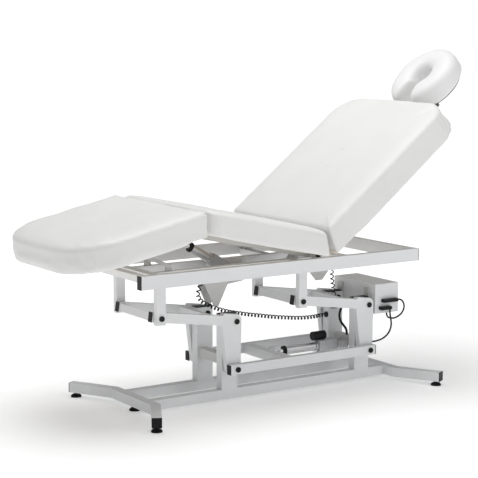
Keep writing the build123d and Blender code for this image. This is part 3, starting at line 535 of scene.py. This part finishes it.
def pad_mesh(name, size, low, top, edge, drop, crown, radii, lean, tucked):
    """A padded section in its own plane.

    size is (foot end, head end, half width). lean gives how far the foot and head ends lie beyond it at
    a height. At the ends that tucked names, 0 for foot and 1 for head, the fold lies inside the board.
    """
    x_foot, x_head, half = size
    reach = min(half, (x_head - x_foot) / 2) - 0.005
    build = bmesh.new()
    rings = []
    for inset, height in pad_profile(low, top, edge, drop, reach, crown):
        ring = []
        for x, y in pad_outline(x_foot, x_head, half, radii, inset, *cover_steps):
            share = (x - x_foot) / (x_head - x_foot)
            x += lean[0](height) * (1 - share) ** 3 + lean[1](height) * share ** 3
            tuck = max(smooth_step(share if end else 1 - share, 0.78, 0.90) for end in tucked)
            ring.append(build.verts.new((x, y, height + tuck * max(0.0, low + 0.001 - height))))
        rings.append(ring)
    count = len(rings[0])
    for lower, upper in zip(rings, rings[1:]):
        for k in range(count):
            build.faces.new((lower[k], lower[(k + 1) % count], upper[(k + 1) % count], upper[k]))
    caps = [build.faces.new(reversed(rings[0])), build.faces.new(rings[-1])]
    bmesh.ops.triangulate(build, faces=caps)
    bmesh.ops.recalc_face_normals(build, faces=build.faces)
    build.normal_update()
    for vertex in build.verts:
        place = vertex.co
        if place.z > low:
            soft = noise.noise(place * 7.0) * 0.0022 + noise.noise(place * 17.0) * 0.0008
            vertex.co = place + vertex.normal * soft
    mesh = bpy.data.meshes.new(name)
    build.to_mesh(mesh)
    build.free()
    return mesh


def inflate(made, cap, pin_below):
    """Lets the cover swell under a little pressure, by no more than cap. What lies below pin_below stays."""
    rest = [vertex.co.copy() for vertex in made.data.vertices]
    held = made.vertex_groups.new(name="held")
    held.add([i for i, place in enumerate(rest) if place.z < pin_below], 1.0, "REPLACE")
    cloth = made.modifiers.new("cloth", "CLOTH")
    cloth.settings.quality = 4
    cloth.settings.mass = 0.4
    cloth.settings.tension_stiffness = 40
    cloth.settings.compression_stiffness = 40
    cloth.settings.bending_stiffness = 2.0
    cloth.settings.use_pressure = True
    cloth.settings.uniform_pressure_force = 4.0
    cloth.settings.vertex_group_mass = "held"
    cloth.settings.effector_weights.gravity = 0
    cloth.collision_settings.use_collision = False
    cloth.point_cache.frame_start = 1
    cloth.point_cache.frame_end = 20
    scene = bpy.context.scene
    for step in range(1, 21):
        scene.frame_set(step)
    settled = made.evaluated_get(bpy.context.evaluated_depsgraph_get()).to_mesh()
    moved = [vertex.co.copy() for vertex in settled.vertices]
    made.modifiers.remove(cloth)
    scene.frame_set(1)
    for vertex, before, after in zip(made.data.vertices, rest, moved):
        step = after - before
        vertex.co = before + step * min(1.0, cap / max(step.length, 1e-9))
    made.vertex_groups.clear()


def subdivide(made, levels=1):
    finer = made.modifiers.new("finer", "SUBSURF")
    finer.levels = levels
    finer.render_levels = levels
    mesh = bpy.data.meshes.new_from_object(made.evaluated_get(bpy.context.evaluated_depsgraph_get()))
    made.modifiers.remove(finer)
    made.data = mesh


def gather(made, wrinkle):
    """Presses the cover in along its normals, by the depth that wrinkle gives at each place."""
    inward = [vertex.normal * -wrinkle(vertex.co) for vertex in made.data.vertices]
    for vertex, step in zip(made.data.vertices, inward):
        vertex.co += step


def pad(name, node, matrix, size, low, top, edge, drop, crown, radii, lean, wrinkle, tucked):
    """A cover and its seam. edge is the radius of the top's rim, and the side ends drop below the board."""
    mesh = pad_mesh(name, size, low, top, edge, drop, crown, radii, lean, tucked)
    made = keep(name, mesh, "vinyl")
    inflate(made, 0.005, low + 0.004)
    subdivide(made)
    gather(made, wrinkle)
    seam = pad_seam(name + "_seam", made, size, top - 0.45 * edge, 0.16 * edge, radii, lean)
    for piece in (made, seam):
        piece.data.transform(matrix)
        piece.data.polygons.foreach_set("use_smooth", [True] * len(piece.data.polygons))
    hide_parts(node)
    return made, seam


def pad_seam(name, pad_piece, size, height, inset, radii, lean):
    """The sewn edge between the top panel and the side band, lying in the pad's surface."""
    x_foot, x_head, half = size
    surface = BVHTree.FromObject(pad_piece, bpy.context.evaluated_depsgraph_get())
    line = []
    for x, y in pad_outline(x_foot, x_head, half, radii, inset, *seam_steps):
        share = (x - x_foot) / (x_head - x_foot)
        x += lean[0](height) * (1 - share) ** 3 + lean[1](height) * share ** 3
        spot, normal, *_ = surface.find_nearest(Vector((x, y, height)))
        line.append(spot - normal * seam_r * 0.35)
    return keep(name, tube_mesh(name, line, seam_r, sides=6, closed=True), "vinyl")


def upright(height):
    return 0.0


def no_wrinkle(place):
    return 0.0


seat_low, leg_low = 0.003, 0.020       # undersides of the boards above the hip's and the knee's pivots
seat_top, back_top, leg_top = 0.095, 0.110, 0.112
knee_along, knee_down = -0.5725, -0.017          # the knee's pivot seen from the hip
knee_slope = tan(radians(12.15))       # half of the angle between seat and leg rest
knee_gap = 0.0008
leg_board_top = 0.033

leg_long, back_long = 0.536, 0.810     # from the knee to the foot end, and from the hip to the head end
crease = (0.045, 0.0955)               # where seat and backrest meet at the top, seen from the hip
groove_low = 0.020                     # half width of the groove between them at their boards


def seat_hip_lean(height):
    """The seat's hip end leans back to the crease."""
    return -(0.046 - groove_low) * smooth_step(height, 0.0, 0.1)


def back_hip_lean(height):
    return (crease[0] - groove_low) * max(0.0, height) / crease[1]


def seat_knee_lean(height):
    """The knee ends of seat and leg rest meet halfway between the two slopes."""
    return -max(0.0, height - knee_down) * knee_slope


def leg_knee_lean(height):
    """The leg rest leans from its board up, so that it clears the seat's board when the bed is flat."""
    return max(0.0, height - leg_board_top) / (leg_top - leg_board_top) * leg_top * knee_slope


def foot_wrinkle(place):
    """Small gathers of the cover round the leg rest's foot corners, and long soft hollows beside them."""
    corner = smooth_step(-place.x, 0.38, 0.47) * smooth_step(abs(place.y), 0.17, 0.28)
    under_top = 1 - smooth_step(place.z, leg_top - 0.05, leg_top - 0.02)
    wave = noise.noise(Vector((place.x * 55, place.y * 55, place.z * 9)))
    return corner * under_top * 0.004 * wave


def back_wrinkle(place):
    """Gathers round the backrest's head corners."""
    corner = smooth_step(place.x, 0.68, 0.75) * smooth_step(abs(place.y), 0.20, 0.29)
    under_top = 1 - smooth_step(place.z, back_top - 0.05, back_top - 0.015)
    wave = noise.noise(Vector((place.x * 60, place.y * 60, place.z * 10)))
    return corner * under_top * 0.006 * wave


def upholstery():
    seat_m = section_matrix(hip, seat_angle)
    back_m = section_matrix(hip, back_angle)
    leg_m = section_matrix(knee, leg_angle)
    seat_pieces = pad("seat_pad", "seat_cushion", seat_m, size=(knee_along + knee_gap, -groove_low, pad_half),
                      low=seat_low, top=seat_top, edge=0.022, drop=0.0, crown=0.003, radii=(0.055, 0.016),
                      lean=(seat_knee_lean, seat_hip_lean), wrinkle=no_wrinkle, tucked=(0, 1))
    for piece in seat_pieces:
        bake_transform(piece)
    leg_pieces = pad("leg_pad", "leg_cushion", leg_m, size=(-leg_long, -knee_gap, pad_half),
                     low=leg_low, top=leg_top, edge=0.024, drop=0.008, crown=0.004, radii=(0.210, 0.016),
                     lean=(upright, leg_knee_lean), wrinkle=foot_wrinkle, tucked=(1,))
    for piece in leg_pieces:
        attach(piece, "leg_rest")
    back_pieces = pad("back_pad", "back_cushion", back_m, size=(groove_low, back_long, pad_half),
                      low=seat_low, top=back_top, edge=0.022, drop=0.009, crown=0.004, radii=(0.016, 0.130),
                      lean=(back_hip_lean, upright), wrinkle=back_wrinkle, tucked=(0,))
    for piece in back_pieces:
        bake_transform(piece)


upholstery()


# ---------------------------------------------------------------- face cradle
cradle_mid = (0.1463, 0.0628)          # middle of the ring, along and above the cradle's pivot
cradle_outer, cradle_inner = (0.159, 0.155), (0.046, 0.043)
cradle_mouth = 0.030                   # half width of the open side
cradle_half = 0.0475                   # half height of the ring


def ring_point(share, radial, height):
    """A point of the ring. share goes round it from mouth to mouth, radial from -1 inside to 1 outside."""
    out = 0.5 + 0.5 * radial
    half_x = cradle_inner[0] + (cradle_outer[0] - cradle_inner[0]) * out
    half_y = cradle_inner[1] + (cradle_outer[1] - cradle_inner[1]) * out
    mouth = asin(min(1.0, cradle_mouth / half_y))
    angle = pi + mouth + share * (2 * pi - 2 * mouth)
    return Vector((cradle_mid[0] + half_x * cos(angle), half_y * sin(angle), cradle_mid[1] + height))


def cradle_ring():
    build = bmesh.new()
    around, sides = 120, 40
    shape, under_shape = 2.5, 6.0      # exponents of the section's rounded top and squarer underside
    under_half = cradle_half + 0.004
    rings = []
    for i in range(around + 1):
        share = i / around
        end = min(share, 1 - share) * 0.62          # metres from the nearer end, about
        close = min(1.0, end / 0.026)
        scale = sqrt(max(0.0, 1 - (1 - close) ** 2)) * 0.94 + 0.06
        ring = []
        for k in range(sides):
            t = 2 * pi * k / sides
            c, s = cos(t), sin(t)
            radial = abs(c) ** (2 / shape) * (1 if c > 0 else -1) * scale
            if s > 0:
                height = s ** (2 / shape) * cradle_half * scale
            else:
                height = -abs(s) ** (2 / under_shape) * under_half * scale
            ring.append(build.verts.new(ring_point(share, radial, height)))
        rings.append(ring)
    for lower, upper in zip(rings, rings[1:]):
        for k in range(sides):
            build.faces.new((lower[k], lower[(k + 1) % sides], upper[(k + 1) % sides], upper[k]))
    caps = [build.faces.new(rings[0]), build.faces.new(reversed(rings[-1]))]
    bmesh.ops.triangulate(build, faces=caps)
    bmesh.ops.recalc_face_normals(build, faces=build.faces)
    build.normal_update()
    for vertex in build.verts:
        place = vertex.co
        vertex.co = place + vertex.normal * noise.noise(place * 14.0) * 0.002
    mesh = bpy.data.meshes.new("cradle_pad")
    build.to_mesh(mesh)
    build.free()
    made = keep("cradle_pad", mesh, "cradle_vinyl")
    subdivide(made)
    made.data.transform(section_matrix(cradle_pivot, cradle_angle))
    made.data.polygons.foreach_set("use_smooth", [True] * len(made.data.polygons))
    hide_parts("cradle_cushion")
    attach(made, "cradle")


cradle_ring()
studio()
floor()
